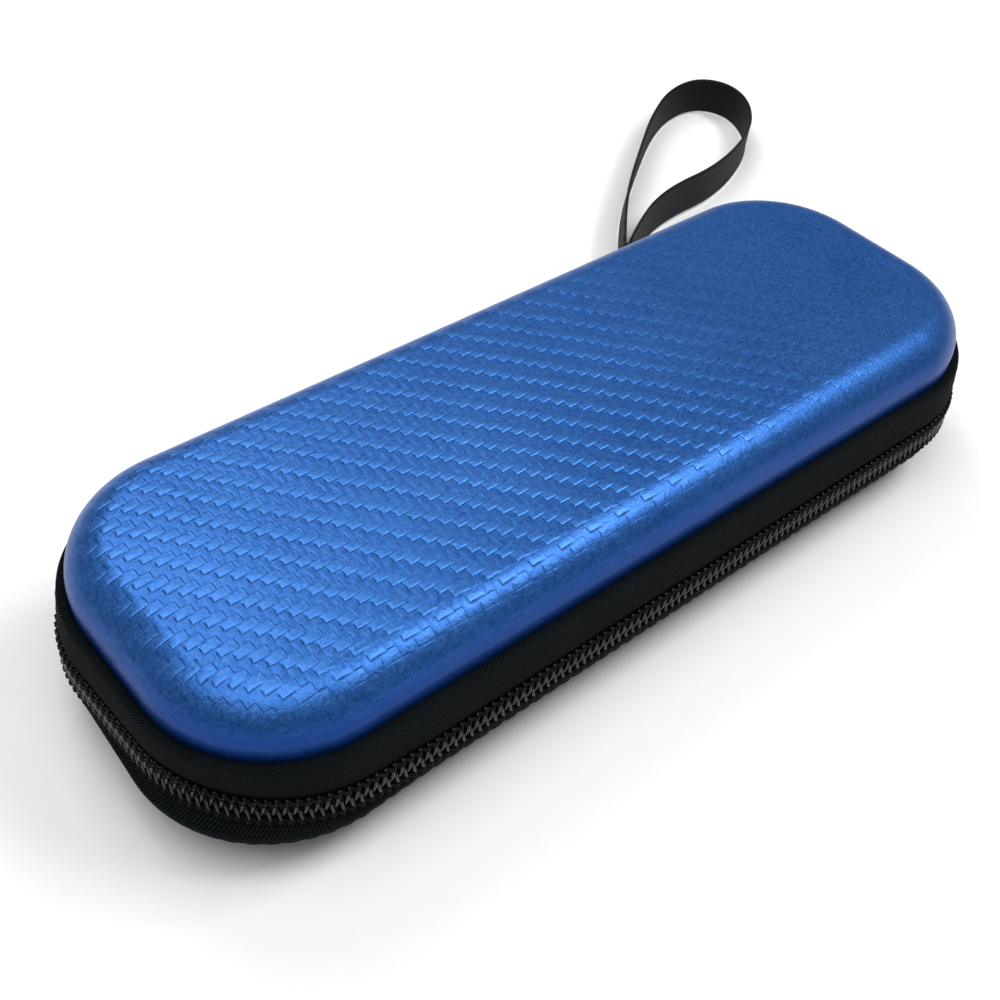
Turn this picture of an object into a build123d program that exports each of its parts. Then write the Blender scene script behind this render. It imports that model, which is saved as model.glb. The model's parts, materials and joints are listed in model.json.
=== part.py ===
"""Hard-shell zip case for a pocket telescope, modelled closed, standing on its base.

Millimetres. The origin is the centre of the flat bottom; +X runs along the case to the
end where the zip closes, +Y points to the hinge side, +Z is up. "Inset" is the distance
inwards from the widest outline, which is the outside of the zip's coil. A height in a
section is measured from the parting plane, and side is 1 for the lid, -1 for the base.
"""
import math
import os
from build123d import *

LID, BASE = 1, -1

# ---- Overall size --------------------------------------------------------------------
LENGTH = 200.0            # over the zip coil
WIDTH = 74.4
CORNER_R = 27.9           # plan radius of the coil's outside
ZIP_Z = 14.5              # height of the parting plane
LID_RISE = 22.7           # parting plane to the top of the lid

# ---- Shell build-up ------------------------------------------------------------------
WALL_INSET = 3.2          # outside of the covered shell
COVER_T = 0.6             # embossed synthetic leather
CORE_T = 2.4              # pressed EVA foam
LINING_T = 0.6            # knitted lining
LID_EDGE_R = 8.2          # rounding of the lid's top edge
BASE_EDGE_R = 10.0        # rounding of the base's bottom edge
SHELL_GAP = 1.4           # parting plane to each shell's raw edge
BINDING_GAP = 0.4         # parting plane to each edge binding
BINDING_T = 0.6
LID_BINDING_REACH = 5.2   # how far up or down the inside each binding goes
BASE_BINDING_REACH = 4.2

# ---- Zip: 5 mm nylon coil on woven tape ----------------------------------------------
COIL_HALF_H = 3.0         # the joined coil is 6 mm tall
COIL_NEAR = 1.3           # each half's solid starts here, clear of the slider's post
COIL_T = 1.6
TAPE_OUT = 0.6            # insets of the tape's two faces beside the coil
TAPE_IN = 1.5
TAPE_FOLD_OUT = 1.5       # inset of the tape's outside at its sewn edge
TAPE_BACK = [(1.7, 4.6), (3.1, 5.7)]    # the tape's back, from the coil to the shell
LID_TAPE_TOP = 12.2
BASE_TAPE_MID = (1.5, 6.0)
BASE_TAPE_LOW = (3.1, 8.9)
INTO_SHELL = 5.0          # sections reach this inset and are cut back by the shell
ZIP_END_DEG = 42.0        # where the coil stops, round the back right corner
THREAD = 0.5              # sewing thread, square section
LID_THREAD = (1.35, 10.6) # inset and height of each sewing row
BASE_THREAD = (1.75, 6.6)
STOP_L, STOP_T = 2.6, 0.5 # clip crimped on each end of the coil

# ---- Fabric hinge along the back -----------------------------------------------------
HINGE_LEFT = -60.0        # from here to the start of the back right corner
HINGE_OUT, HINGE_IN = 0.5, 1.4
HINGE_GAP = 0.3           # half the slit between the hinge's two halves
HINGE_TOP = 12.2
INNER_HINGE_T = 0.6
INNER_HINGE_HALF_L = 50.0

# ---- Slider, parked in the back right corner -----------------------------------------
# Its place lets the lid's half of the coil rise out of it as the lid opens.
SLIDER_DEG = 24.0
SLIDER_HALF_L = 5.8
NOSE_HALF, TAIL_HALF = 4.8, 4.0
SHOULDER, CHEEK = 0.2, 0.75 # where the nose's wide part starts and ends, of the half length
TIP_WIDTH = 0.45          # of the nose's width
SLIDER_ROUND = 0.7
OUTER_PLATE = (-1.6, -0.4)  # insets of each plate's faces
INNER_PLATE = (1.9, 2.9)
INNER_PLATE_HALF, INNER_TAIL_HALF = 4.2, 3.8
POST = (3.0, 5.0)         # the post's ends along the slider
POST_HALF_W = 0.9
ROOT = 0.5                # how deep the post and the bail run into the plates
BAIL_TOP = -5.8           # inset of the bail's outside
BAIL_BAR = 1.2
BAIL_BEVEL = 1.4
BAIL_HALF_W = 0.9
BAIL_HALF_L = 3.6
PULL_TOP, PULL_LOW = 2.3, -12.6   # the pull's ends, from the parting plane
PULL_HALF_W = 2.8
PULL_TOP_HALF, PULL_END_HALF, PULL_WAIST_HALF = 2.1, 1.95, 2.25
PULL_SHOULDER, PULL_WAIST, PULL_HIP = 0.4, -4.5, -10.6
PULL_T = 1.2
PULL_ROUND = 0.5
EYE_HALF_W = 1.3
EYE_TOP, EYE_LOW = 1.3, -1.7

# ---- Wrist strap: one flat ribbon, both ends sewn to the hinge's lower half ----------
STRAP_W = 10.0
STRAP_T = 0.9
STRAP_LOW_Z = 1.6         # lower edge where it is sewn on
STRAP_DROOP_DEG = 0.55    # the loop sinks towards its tip
STUB_START_X = 41.0
STUB_BEND_X = 51.5
STUB_BEND_R = 12.0
STRAP_EXIT = (75.0, 56.0)
STRAP_HEADING_DEG = 37.5  # the way the ribbon leaves its stub, in plan
STRAP_CLEAR = 0.35        # the strands' square ends stand this far off the stub
STRAP_APART = 0.55        # each strand's middle from the stub's middle, at the exit
STRAP_BEND = 0.45         # arc's tangent length, as a share of a bend's shorter run
STRAP_TACK_X = (42.0, 46.0)
STRAP_TACK_Z = (7.0, 10.8)
# The loop's bends, from the exit round and back to it.
STRAP_ROUTE = [
    (85.0, 67.3), (97.5, 78.0), (112.0, 88.6), (128.0, 99.8), (143.0, 107.3), (156.0, 107.8),
    (161.5, 98.5), (155.5, 85.5), (141.0, 75.2), (122.0, 68.8), (103.5, 68.2), (88.5, 63.6),
]

# ---- Inside --------------------------------------------------------------------------
NET_Z = 20.5              # the pocket's net, under the lid's roof
NET_T = 0.6
NET_RIGHT = 18.0          # free edge of the pocket
NET_ELASTIC_W = 8.0
NET_ELASTIC_T = 1.6
BAND_W = 22.0             # elastic band across the base's floor
BAND_T = 1.0
BAND_HALF_L = 23.0
TACK_L = 4.0
TACK_T = 0.5
TACK_EDGE = 1.0

HALF_L = LENGTH / 2
HALF_W = WIDTH / 2
CX = HALF_L - CORNER_R    # plan centres of the corners
CY = HALF_W - CORNER_R
LINING_INSET = WALL_INSET + COVER_T + CORE_T
CAVITY_INSET = LINING_INSET + LINING_T
FLOOR_Z = COVER_T + CORE_T + LINING_T
FAR = 300.0               # larger than the whole case


def block(x0, x1, y0, y1, z0, z1):
    """A box between two corners."""
    return Pos((x0 + x1) / 2, (y0 + y1) / 2, (z0 + z1) / 2) * Box(x1 - x0, y1 - y0, z1 - z0)


# ---- Shells --------------------------------------------------------------------------
def bowl(inset, depth, edge_r, side):
    """A solid bowl from the parting plane up or down, with its far edge rounded."""
    plan = RectangleRounded(LENGTH - 2 * inset, WIDTH - 2 * inset, CORNER_R - inset)
    solid = extrude(Plane.XY.offset(ZIP_Z) * plan, side * depth)
    far_edges = solid.edges().group_by(Axis.Z)[-1 if side == LID else 0]
    return fillet(far_edges, edge_r)


def half_bowl(into, side):
    """One half of the case, with its outside drawn in by a distance."""
    depth, edge_r = (LID_RISE, LID_EDGE_R) if side == LID else (ZIP_Z, BASE_EDGE_R)
    return bowl(WALL_INSET + into, depth - into, edge_r - into, side)


def shell_layer(into, thickness, side):
    """One layer of a shell, stopping short of the parting plane."""
    near = sorted((ZIP_Z, ZIP_Z + side * SHELL_GAP))
    mouth = block(-FAR, FAR, -FAR, FAR, near[0], near[1])
    return half_bowl(into, side) - half_bowl(into + thickness, side) - mouth


# ---- Sections swept along the outline ------------------------------------------------
def corner(sx, sy, start, size):
    """An arc of the outline round one of its corners."""
    return CenterArc((sx * CX, sy * CY, ZIP_Z), CORNER_R, start, size)


def back_line(x0, x1):
    """A straight stretch of the outline along the back."""
    return Line((x0, HALF_W, ZIP_Z), (x1, HALF_W, ZIP_Z))


def way_round(last_x):
    """The outline from the back right corner's end, by the front, to a point on the back."""
    return [
        Line((HALF_L, CY, ZIP_Z), (HALF_L, -CY, ZIP_Z)),
        corner(1, -1, 0, -90),
        Line((CX, -HALF_W, ZIP_Z), (-CX, -HALF_W, ZIP_Z)),
        corner(-1, -1, -90, -90),
        Line((-HALF_L, -CY, ZIP_Z), (-HALF_L, CY, ZIP_Z)),
        corner(-1, 1, 180, -90),
        back_line(-CX, last_x),
    ]


def sweep_section(points, edges, start_deg, side):
    """Sweep an (inset, height) section along part of the outline.

    The stretch starts in the back right corner, at an angle from +X, and goes clockwise.
    """
    a = math.radians(start_deg)
    out = Vector(math.cos(a), math.sin(a), 0)
    at = Vector(CX, CY, ZIP_Z) + out * CORNER_R
    plane = Plane(origin=at, x_dir=-out, z_dir=Vector(-math.sin(a), math.cos(a), 0))
    section = make_face(Polyline([(inset, side * height) for inset, height in points], close=True))
    return sweep(plane * section, path=Wire(edges))


def along_zip(points, side):
    """A section all along the zip's coil."""
    edges = [corner(1, 1, ZIP_END_DEG, -ZIP_END_DEG)] + way_round(HINGE_LEFT)
    return sweep_section(points, edges, ZIP_END_DEG, side)


def along_tail(points, side):
    """A section between the coil's end and the hinge."""
    return sweep_section(points, [corner(1, 1, 90, ZIP_END_DEG - 90)], 90, side)


def all_round(points, side):
    """A section round the whole outline."""
    edges = [corner(1, 1, 90, -90)] + way_round(CX)
    return sweep_section(points, edges, 90, side)


def rectangle_section(inset0, inset1, low, high):
    """Corners of a rectangular section."""
    return [(inset0, low), (inset0, high), (inset1, high), (inset1, low)]


def edge_binding(reach, side):
    """Fabric folded over a shell's raw edge and down its inside."""
    lip = CAVITY_INSET + BINDING_T
    return all_round([
        (WALL_INSET, BINDING_GAP), (lip, BINDING_GAP), (lip, reach),
        (CAVITY_INSET, reach), (CAVITY_INSET, SHELL_GAP), (WALL_INSET, SHELL_GAP),
    ], side)


# ---- Zip -----------------------------------------------------------------------------
def lid_tape_section():
    return [
        (TAPE_OUT, COIL_HALF_H), (TAPE_FOLD_OUT, LID_TAPE_TOP), (INTO_SHELL, LID_TAPE_TOP),
        (INTO_SHELL, TAPE_BACK[1][1]), *reversed(TAPE_BACK), (TAPE_IN, COIL_HALF_H),
    ]


def base_tape_section():
    return [
        (TAPE_OUT, COIL_HALF_H), BASE_TAPE_MID, BASE_TAPE_LOW, (INTO_SHELL, BASE_TAPE_LOW[1]),
        (INTO_SHELL, TAPE_BACK[1][1]), *reversed(TAPE_BACK), (TAPE_IN, COIL_HALF_H),
    ]


def tape(section, side):
    """A woven tape on a shell's outside, with a plain tail from the coil's end to the hinge."""
    lip = rectangle_section(TAPE_OUT, TAPE_IN, HINGE_GAP, COIL_HALF_H)
    whole = along_zip(section, side) + along_tail(section, side) + along_tail(lip, side)
    return whole - half_bowl(0, side)


def coil(side):
    """One half of the coil between its end clips, as a plain solid without its turns."""
    start_deg = ZIP_END_DEG - math.degrees(STOP_L / CORNER_R)
    edges = [corner(1, 1, start_deg, -start_deg)] + way_round(HINGE_LEFT - STOP_L)
    section = rectangle_section(0, COIL_T, COIL_NEAR, COIL_HALF_H)
    return sweep_section(section, edges, start_deg, side)


def sewing_row(place, tape_solid, side):
    """A row of thread lying on a tape's outside."""
    inset, height = place
    half = THREAD / 2
    row = along_zip(rectangle_section(inset - half, inset + half, height - half, height + half), side)
    return row - tape_solid


def in_corner(shape, deg):
    """Place something drawn for a coil that faces +X round the back right corner."""
    return Pos(CX, CY, ZIP_Z) * Rot(0, 0, deg) * shape


def end_stops(side):
    """The clips that close the two ends of one half of the coil."""
    low, high = sorted((side * COIL_NEAR, side * (COIL_HALF_H - 0.1)))
    clip = block(CORNER_R - COIL_T, CORNER_R + STOP_T, -STOP_L + 0.2, -0.2, low, high)
    right = in_corner(clip, ZIP_END_DEG)
    left = Pos(HINGE_LEFT - STOP_L, CY, ZIP_Z) * Rot(0, 0, 90) * clip
    return [left, right]


# ---- Hinge ---------------------------------------------------------------------------
def outer_hinge(side):
    """The fabric hinge's half on one shell, outside."""
    y_out, y_in = HALF_W - HINGE_OUT, HALF_W - HINGE_IN
    y_shell = HALF_W - INTO_SHELL
    if side == LID:
        section = [(y_out, HINGE_GAP), (HALF_W - TAPE_FOLD_OUT, HINGE_TOP), (y_shell, HINGE_TOP)]
    else:
        mid_inset, mid_z = BASE_TAPE_MID
        low_inset, low_z = BASE_TAPE_LOW
        section = [(y_out, HINGE_GAP), (HALF_W - mid_inset, mid_z), (HALF_W - low_inset, low_z),
                   (y_shell, low_z)]
    section += [(y_shell, TAPE_BACK[1][1]), (HALF_W - TAPE_BACK[1][0], TAPE_BACK[1][1]),
                (y_in, COIL_HALF_H), (y_in, HINGE_GAP)]
    profile = make_face(Polyline([(y, side * z) for y, z in section], close=True))
    plane = Plane(origin=(HINGE_LEFT, 0, ZIP_Z), x_dir=(0, 1, 0), z_dir=(1, 0, 0))
    return extrude(plane * profile, CX - HINGE_LEFT) - half_bowl(0, side)


def inner_hinge(side):
    """The lining strip over the hinge, on the inside of one edge binding."""
    y1 = HALF_W - CAVITY_INSET - BINDING_T
    reach = LID_BINDING_REACH if side == LID else BASE_BINDING_REACH
    z0, z1 = sorted((ZIP_Z + side * BINDING_GAP, ZIP_Z + side * reach))
    return block(-INNER_HINGE_HALF_L, INNER_HINGE_HALF_L, y1 - INNER_HINGE_T, y1, z0, z1)


# ---- Slider and pull, drawn for a coil that faces +X ---------------------------------
def curved_plate(outline_face, insets):
    """A plate with the outline, bent round the corner's centre between two insets."""
    r0, r1 = CORNER_R - insets[1], CORNER_R - insets[0]
    bent = Cylinder(r1, 4 * NOSE_HALF) - Cylinder(r0, 4 * NOSE_HALF)
    prism = extrude(Plane.YZ * outline_face, 2 * CORNER_R)
    return bent & prism


def slider_outline(nose, tail):
    """A slider's face: wide at the nose, which leads as the zip closes."""
    end, shoulder, cheek = SLIDER_HALF_L, SHOULDER * SLIDER_HALF_L, CHEEK * SLIDER_HALF_L
    tip = TIP_WIDTH * nose
    points = [(-end, -tail), (-end, tail), (shoulder, nose), (cheek, nose), (end, tip),
              (end, -tip), (cheek, -nose), (shoulder, -nose)]
    face = make_face(Polyline(points, close=True))
    return fillet(face.vertices(), SLIDER_ROUND)


def slider():
    """Outer plate, inner plate, the post between them and the bail, cast in one piece."""
    outer = curved_plate(slider_outline(NOSE_HALF, TAIL_HALF), OUTER_PLATE)
    inner = curved_plate(slider_outline(INNER_PLATE_HALF, INNER_TAIL_HALF), INNER_PLATE)
    post = block(CORNER_R - INNER_PLATE[0] - ROOT, CORNER_R - OUTER_PLATE[1] + ROOT,
                 POST[0], POST[1], -POST_HALF_W, POST_HALF_W)
    foot, top = CORNER_R - OUTER_PLATE[0] - ROOT, CORNER_R - BAIL_TOP
    outside = make_face(Polyline([
        (foot, -BAIL_HALF_L), (top - BAIL_BEVEL, -BAIL_HALF_L), (top, BAIL_BEVEL - BAIL_HALF_L),
        (top, BAIL_HALF_L - BAIL_BEVEL), (top - BAIL_BEVEL, BAIL_HALF_L), (foot, BAIL_HALF_L),
    ], close=True))
    window = offset(outside, -BAIL_BAR, kind=Kind.INTERSECTION)
    window += Pos(-BAIL_BAR, 0) * window
    bail = extrude(Plane.XY * (outside - window), BAIL_HALF_W, both=True)
    return in_corner(outer + inner + post + bail, SLIDER_DEG)


def pull():
    """The pull tab, hanging from the bail's bar through its eye."""
    bar_x = CORNER_R - BAIL_TOP - BAIL_BAR / 2
    one_side = [(PULL_TOP_HALF, PULL_TOP), (PULL_HALF_W, PULL_SHOULDER),
                (PULL_WAIST_HALF, PULL_WAIST), (PULL_HALF_W, PULL_HIP), (PULL_END_HALF, PULL_LOW)]
    other_side = [(-across, height) for across, height in reversed(one_side)]
    shape = make_face(Polyline(one_side + other_side, close=True))
    shape = fillet(shape.vertices(), PULL_ROUND)
    eye_mid, eye_height = (EYE_TOP + EYE_LOW) / 2, EYE_TOP - EYE_LOW
    shape -= Pos(0, eye_mid) * RectangleRounded(2 * EYE_HALF_W, eye_height, PULL_ROUND)
    tab = extrude(Plane.XZ * Pos(bar_x, 0) * shape, PULL_T / 2, both=True)
    return in_corner(tab, SLIDER_DEG)


# ---- Wrist strap ---------------------------------------------------------------------
def strap_stub():
    """The ribbon's two ends, laid on each other and sewn flat to the hinge."""
    y = HALF_W - HINGE_OUT + STRAP_T
    route = FilletPolyline((STUB_START_X, y), (STUB_BEND_X, y), STRAP_EXIT, radius=STUB_BEND_R)
    plan = trace(route, line_width=2 * STRAP_T)
    return extrude(Plane.XY.offset(STRAP_LOW_Z) * plan, STRAP_W)


def strap_points():
    """The loop's bends with its two ends beside each other on the stub."""
    a = math.radians(STRAP_HEADING_DEG)
    side = Vector(-math.sin(a), math.cos(a)) * STRAP_APART
    exit_point = Vector(*STRAP_EXIT) + Vector(math.cos(a), math.sin(a)) * STRAP_CLEAR
    return [exit_point + side, *(Vector(*p) for p in STRAP_ROUTE), exit_point - side]


def bend_radii(points):
    """The largest arc that fits each bend with room for its neighbours."""
    radii = []
    for before, here, after in zip(points, points[1:], points[2:]):
        shorter = min((here - before).length, (after - here).length)
        turn = math.radians((here - before).get_angle(after - here))
        radii.append(STRAP_BEND * shorter / math.tan(turn / 2))
    return radii


def wrist_strap():
    """The ribbon's free loop, standing on its edge and drooping to its tip."""
    points = strap_points()
    radii = bend_radii(points)
    print("strap radii", [round(r, 1) for r in radii])
    route = FilletPolyline(*points, radius=radii)
    print("strap length", round(route.length, 1))
    plan = trace(route, line_width=STRAP_T)
    ribbon = extrude(Plane.XY.offset(STRAP_LOW_Z) * plan, STRAP_W)
    print("strap volume over section times length",
          round(ribbon.volume / (route.length * STRAP_W * STRAP_T), 3))
    a = math.radians(STRAP_HEADING_DEG)
    across = Axis((STRAP_EXIT[0], STRAP_EXIT[1], STRAP_LOW_Z), (-math.sin(a), math.cos(a), 0))
    return ribbon.rotate(across, STRAP_DROOP_DEG)


def strap_tack():
    """A block of close stitches through the stub into the hinge."""
    y = HALF_W - HINGE_OUT + 2 * STRAP_T
    return block(*STRAP_TACK_X, y, y + TACK_T, *STRAP_TACK_Z)


# ---- Inside --------------------------------------------------------------------------
def pocket_net():
    """The lid pocket's net, sewn to the lining on three sides."""
    inset = CAVITY_INSET
    plan = RectangleRounded(LENGTH - 2 * inset, WIDTH - 2 * inset, CORNER_R - inset)
    slab = extrude(Plane.XY.offset(NET_Z) * plan, NET_T)
    return slab - block(NET_RIGHT - NET_ELASTIC_W, FAR, -FAR, FAR, 0, FAR)


def pocket_elastic():
    """The elastic along the pocket's free edge."""
    half = HALF_W - CAVITY_INSET
    mid = NET_Z + NET_T / 2
    return block(NET_RIGHT - NET_ELASTIC_W, NET_RIGHT, -half, half,
                 mid - NET_ELASTIC_T / 2, mid + NET_ELASTIC_T / 2)


def holding_band():
    """The elastic band that holds the telescope down, lying empty on the floor."""
    return block(-BAND_W / 2, BAND_W / 2, -BAND_HALF_L, BAND_HALF_L, FLOOR_Z, FLOOR_Z + BAND_T)


def band_tacks():
    """The stitching that holds the band's two ends."""
    z = FLOOR_Z + BAND_T
    half = BAND_W / 2 - TACK_EDGE
    far = BAND_HALF_L - TACK_EDGE
    back = block(-half, half, far - TACK_L, far, z, z + TACK_T)
    return [back, mirror(back, about=Plane.XZ)]


# ---- Assembly ------------------------------------------------------------------------
def save(name, shape):
    """Write one sub-part; every part is built where it sits."""
    shape = Compound(children=shape) if isinstance(shape, list) else shape
    export_step(shape, f"parts/{name}.step")


def save_half(prefix, side, section, thread, reach):
    """Write the pieces that the lid and the base both have."""
    save(f"{prefix}_cover", shell_layer(0, COVER_T, side))
    save(f"{prefix}_foam_shell", shell_layer(COVER_T, CORE_T, side))
    save(f"{prefix}_lining", shell_layer(COVER_T + CORE_T, LINING_T, side))
    save(f"{prefix}_edge_binding", edge_binding(reach, side))
    tape_solid = tape(section, side)
    save(f"{prefix}_zip_tape", tape_solid)
    save(f"{prefix}_zip_coil", coil(side))
    save(f"{prefix}_zip_end_stops", end_stops(side))
    save(f"{prefix}_sewing_thread", sewing_row(thread, tape_solid, side))
    save(f"{prefix}_outer_hinge", outer_hinge(side))
    save(f"{prefix}_inner_hinge", inner_hinge(side))


def main():
    os.makedirs("parts", exist_ok=True)
    save_half("lid", LID, lid_tape_section(), LID_THREAD, LID_BINDING_REACH)
    save_half("base", BASE, base_tape_section(), BASE_THREAD, BASE_BINDING_REACH)
    save("zip_slider", slider())
    save("zip_pull", pull())
    save("wrist_strap_stub", strap_stub())
    save("wrist_strap", wrist_strap())
    save("wrist_strap_tack", strap_tack())
    save("lid_pocket_net", pocket_net())
    save("lid_pocket_elastic", pocket_elastic())
    save("holding_band", holding_band())
    save("holding_band_tacks", band_tacks())


main()
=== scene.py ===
"""Looks of the telescope carry case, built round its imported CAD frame.

Metres. Everything near the zip is laid out in the case's own coordinates: s runs clockwise
round the widest outline from the back right corner, inset is the distance inwards from that
outline, and height is measured from the parting plane (upwards on the lid, downwards on the
base). side is 1 for the lid and -1 for the base.
"""
import json
import math

import bmesh
import bpy
import numpy as np
from mathutils import Matrix, Vector


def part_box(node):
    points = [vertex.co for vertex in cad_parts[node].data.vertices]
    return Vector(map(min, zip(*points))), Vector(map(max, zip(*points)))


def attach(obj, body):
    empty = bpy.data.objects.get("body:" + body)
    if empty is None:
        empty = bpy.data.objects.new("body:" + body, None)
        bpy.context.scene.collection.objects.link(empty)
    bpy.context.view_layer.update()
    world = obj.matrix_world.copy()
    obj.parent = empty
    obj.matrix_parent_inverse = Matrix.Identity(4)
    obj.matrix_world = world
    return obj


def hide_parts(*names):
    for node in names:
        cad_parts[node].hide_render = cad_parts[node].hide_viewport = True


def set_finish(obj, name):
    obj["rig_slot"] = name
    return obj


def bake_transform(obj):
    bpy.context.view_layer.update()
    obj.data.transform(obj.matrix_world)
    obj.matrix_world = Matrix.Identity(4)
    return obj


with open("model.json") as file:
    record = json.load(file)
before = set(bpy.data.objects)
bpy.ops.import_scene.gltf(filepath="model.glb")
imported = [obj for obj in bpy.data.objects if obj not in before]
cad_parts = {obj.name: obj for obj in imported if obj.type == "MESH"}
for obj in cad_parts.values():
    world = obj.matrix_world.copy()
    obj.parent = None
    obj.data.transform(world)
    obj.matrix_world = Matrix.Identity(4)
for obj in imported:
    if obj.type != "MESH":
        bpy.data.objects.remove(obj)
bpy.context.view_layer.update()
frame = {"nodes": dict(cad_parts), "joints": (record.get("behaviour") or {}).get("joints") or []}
MM = 0.001
LID, BASE = 1, -1
HALF_NAMES = {LID: "lid", BASE: "base"}

# ---- Sizes, from the frame and from what its boxes don't say -------------------------
coil_low, coil_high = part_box("lid_zip_coil")
cover_low, cover_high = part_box("lid_cover")
HALF_L, HALF_W = coil_high.x, coil_high.y
WALL = HALF_L - cover_high.x                # inset of the covered shell
ZIP_Z = next(j for j in frame["joints"] if j["name"] == "lid_hinge")["pos_m"][2]
DEPTH = {LID: cover_high.z - ZIP_Z, BASE: ZIP_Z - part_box("base_cover")[0].z}
EDGE_R = {LID: 8.2 * MM, BASE: 10.0 * MM}
CORNER_R = 27.9 * MM
CX, CY = HALF_L - CORNER_R, HALF_W - CORNER_R
MOUTH = 1.4 * MM                            # parting plane to a shell's raw edge
COVER_T, CORE_T, LINING_T = 0.6 * MM, 2.4 * MM, 0.6 * MM
LINING_OUT = COVER_T + CORE_T
CAVITY = WALL + LINING_OUT + LINING_T
FLOOR_Z = LINING_OUT + LINING_T

ARC = CORNER_R * math.pi / 2
LEGS = [ARC, 2 * CY, ARC, 2 * CX, ARC, 2 * CY, ARC, 2 * CX]
STARTS = np.concatenate([[0], np.cumsum(LEGS)])
ROUND = STARTS[-1]
HINGE_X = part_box("lid_outer_hinge")[0].x
S_HINGE = ROUND - (CX - HINGE_X)            # where the zip ends and the hinge begins
S_COIL = CORNER_R * math.radians(90 - 42)   # where the coil begins
PITCH = 1.72 * MM                           # of the coil's turns


# ---- Layout --------------------------------------------------------------------------
def smooth_step(x, a, b):
    t = np.clip((np.asarray(x, float) - a) / (b - a), 0, 1)
    return t * t * (3 - 2 * t)


def outline(s):
    """The inner rectangle's point and the outward normal for each s."""
    s = np.mod(np.asarray(s, float), ROUND)
    leg = np.clip(np.searchsorted(STARTS, s, side="right") - 1, 0, 7)
    t = (s - STARTS[leg]) / np.take(LEGS, leg)
    turns = np.where(leg % 2 == 0, leg // 2 + t, leg // 2 + 1.0)
    angle = math.pi / 2 * (1 - turns)
    ends_x = np.array([CX, CX, CX, CX, -CX, -CX, -CX, -CX, CX])
    ends_y = np.array([CY, CY, -CY, -CY, -CY, -CY, CY, CY, CY])
    x = ends_x[leg] + t * (ends_x[leg + 1] - ends_x[leg])
    y = ends_y[leg] + t * (ends_y[leg + 1] - ends_y[leg])
    return x, y, np.cos(angle), np.sin(angle)


def place(s, inset, height, side):
    """Row-frame points from the case's own coordinates."""
    x, y, nx, ny = outline(s)
    out = CORNER_R - np.asarray(inset, float)
    z = ZIP_Z + side * np.asarray(height, float)
    return np.stack(np.broadcast_arrays(x + nx * out, y + ny * out, z), -1)


BULGE_AT, BULGE_HALF = STARTS[5] - 0.35 * ARC, 0.045   # round the front left corner
BULGE_RISE, BULGE_PUSH = 1.5 * MM, 0.9 * MM
BULGE_TUCK = 2.6 * MM                       # how far the base tape stands out below it


def zip_place(s, inset, height, side):
    """Like place, for the zip: its line rises and sinks in a little round one corner."""
    s, inset, height = np.broadcast_arrays(s, inset, height)
    near = smooth_step(1 - np.abs(s - BULGE_AT) / BULGE_HALF, 0, 1)
    hold = near * (1 - smooth_step(height, 3.5 * MM, 10 * MM))
    out = near * (side == BASE) * smooth_step(height, 3 * MM, 5 * MM) * (
        1 - smooth_step(height, 6 * MM, 8.8 * MM))
    return place(s, inset + hold * BULGE_PUSH - BULGE_TUCK * out,
                 height + side * hold * BULGE_RISE, side)


def steps(a, b, step):
    """Evenly spaced values from a to b, about a step apart."""
    return np.linspace(a, b, max(2, round(abs(b - a) / step) + 1))


def grid_faces(rows, cols, wrap_rows=False, wrap_cols=False, first=0):
    """Quads of a grid of points stored row by row."""
    r = np.arange(rows if wrap_rows else rows - 1)[:, None]
    c = np.arange(cols if wrap_cols else cols - 1)[None, :]
    r1, c1 = (r + 1) % rows, (c + 1) % cols
    quads = [r * cols + c, r * cols + c1, r1 * cols + c1, r1 * cols + c]
    return first + np.stack(np.broadcast_arrays(*quads), -1).reshape(-1, 4)


def fan_ends(rows, cols, first=0):
    """Polygons that close both ends of a tube made as a grid."""
    return [list(range(first, first + cols))[::-1],
            list(range(first + (rows - 1) * cols, first + rows * cols))]


class Sheet:
    """Points, faces and pattern coordinates gathered for one piece."""

    def __init__(self):
        self.points, self.faces, self.uvs, self.count = [], [], [], 0

    def add(self, points, faces, uv=None):
        points = np.asarray(points, float).reshape(-1, 3)
        self.points.append(points)
        self.faces += [[i + self.count for i in face] for face in faces]
        self.uvs.append(np.zeros((len(points), 2)) if uv is None
                        else np.asarray(uv, float).reshape(-1, 2))
        self.count += len(points)
        return self

    def grid(self, points, uv=None, wrap_rows=False, wrap_cols=False, ends=False):
        rows, cols = points.shape[:2]
        faces = grid_faces(rows, cols, wrap_rows, wrap_cols).tolist()
        if ends:
            faces += fan_ends(rows, cols)
        return self.add(points, faces, uv)

    def make(self, name, material, weld=False):
        mesh = bpy.data.meshes.new(name)
        points, uvs = np.concatenate(self.points), np.concatenate(self.uvs)
        mesh.from_pydata(points.tolist(), [], self.faces)
        corner = np.zeros(len(mesh.loops), np.int32)
        mesh.loops.foreach_get("vertex_index", corner)
        layer = mesh.uv_layers.new(name="pattern")
        layer.data.foreach_set("uv", uvs[corner].astype(np.float32).ravel())
        bm = bmesh.new()
        bm.from_mesh(mesh)
        if weld:
            bmesh.ops.remove_doubles(bm, verts=bm.verts, dist=1e-6)
        bmesh.ops.recalc_face_normals(bm, faces=bm.faces)
        bm.to_mesh(mesh)
        bm.free()
        mesh.polygons.foreach_set("use_smooth", [True] * len(mesh.polygons))
        mesh.materials.append(material)
        obj = bpy.data.objects.new(name, mesh)
        bpy.context.scene.collection.objects.link(obj)
        return obj


def finish_piece(obj, body, slot, *nodes):
    """Ride a finished piece on its body and stand it in for its CAD nodes."""
    if body:
        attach(obj, body)
    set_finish(obj, slot)
    if nodes:
        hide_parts(*nodes)
    return obj


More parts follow.
